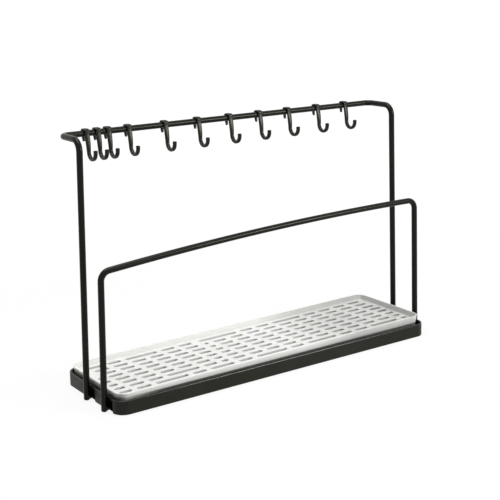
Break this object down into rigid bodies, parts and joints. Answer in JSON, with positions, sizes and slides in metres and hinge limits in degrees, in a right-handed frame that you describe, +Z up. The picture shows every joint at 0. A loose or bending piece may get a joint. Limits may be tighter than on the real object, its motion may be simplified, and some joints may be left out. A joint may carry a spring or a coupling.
{
  "type": "countertop draining rack",
  "caption": "Slim black draining tray with a slotted white insert, a low wire guard and a tall wire frame whose rail carries sliding clip-on hooks.",
  "frame": {"origin": "on the counter under the middle of the base tray, which is the bottom centre of the whole rack's box", "axes": "+X along the rack to its right end, +Y to the back, +Z up"},
  "size_m": [0.412, 0.115, 0.265],
  "materials": {
    "tray_plastic": "moulded black plastic, low gloss sides and a glossy rim",
    "insert_plastic": "milky white moulded plastic, satin",
    "frame_coating": "black satin powder coat on steel wire",
    "hook_plastic": "moulded black plastic, satin",
    "foot_rubber": "matt dark grey rubber"
  },
  "bodies": {
    "stand": {"base_tray": "tray_plastic", "rear_frame": "frame_coating", "guard_frame": "frame_coating", "rubber_foot_rear_left": "foot_rubber", "rubber_foot_rear_right": "foot_rubber", "rubber_foot_front_left": "foot_rubber", "rubber_foot_front_right": "foot_rubber"},
    "insert": {"drainer_insert": "insert_plastic"},
    "hook_01_body": {"hook_01": "hook_plastic"},
    "hook_02_body": {"hook_02": "hook_plastic"},
    "hook_03_body": {"hook_03": "hook_plastic"},
    "hook_04_body": {"hook_04": "hook_plastic"},
    "hook_05_body": {"hook_05": "hook_plastic"},
    "hook_06_body": {"hook_06": "hook_plastic"},
    "hook_07_body": {"hook_07": "hook_plastic"},
    "hook_08_body": {"hook_08": "hook_plastic"},
    "hook_09_body": {"hook_09": "hook_plastic"},
    "hook_10_body": {"hook_10": "hook_plastic"},
    "hook_11_body": {"hook_11": "hook_plastic"}
  },
  "joints": [
    {"name": "insert_lift", "type": "slide", "parent": "stand", "child": "insert", "axis": [0, 0, 1], "range_m": [0, 0.1]},
    {"name": "hook_01_slide", "type": "slide", "parent": "stand", "child": "hook_01_body", "axis": [1, 0, 0], "range_m": [-0.0148, 0.003]},
    {"name": "hook_02_slide", "type": "slide", "parent": "stand", "child": "hook_02_body", "axis": [1, 0, 0], "range_m": [-0.003, 0.0027]},
    {"name": "hook_03_slide", "type": "slide", "parent": "stand", "child": "hook_03_body", "axis": [1, 0, 0], "range_m": [-0.0027, 0.0083]},
    {"name": "hook_04_slide", "type": "slide", "parent": "stand", "child": "hook_04_body", "axis": [1, 0, 0], "range_m": [-0.0083, 0.0182]},
    {"name": "hook_05_slide", "type": "slide", "parent": "stand", "child": "hook_05_body", "axis": [1, 0, 0], "range_m": [-0.0182, 0.0169]},
    {"name": "hook_06_slide", "type": "slide", "parent": "stand", "child": "hook_06_body", "axis": [1, 0, 0], "range_m": [-0.0169, 0.0169]},
    {"name": "hook_07_slide", "type": "slide", "parent": "stand", "child": "hook_07_body", "axis": [1, 0, 0], "range_m": [-0.0169, 0.0163]},
    {"name": "hook_08_slide", "type": "slide", "parent": "stand", "child": "hook_08_body", "axis": [1, 0, 0], "range_m": [-0.0163, 0.0163]},
    {"name": "hook_09_slide", "type": "slide", "parent": "stand", "child": "hook_09_body", "axis": [1, 0, 0], "range_m": [-0.0163, 0.0172]},
    {"name": "hook_10_slide", "type": "slide", "parent": "stand", "child": "hook_10_body", "axis": [1, 0, 0], "range_m": [-0.0172, 0.0169]},
    {"name": "hook_11_slide", "type": "slide", "parent": "stand", "child": "hook_11_body", "axis": [1, 0, 0], "range_m": [-0.0169, 0.0274]}
  ]
}
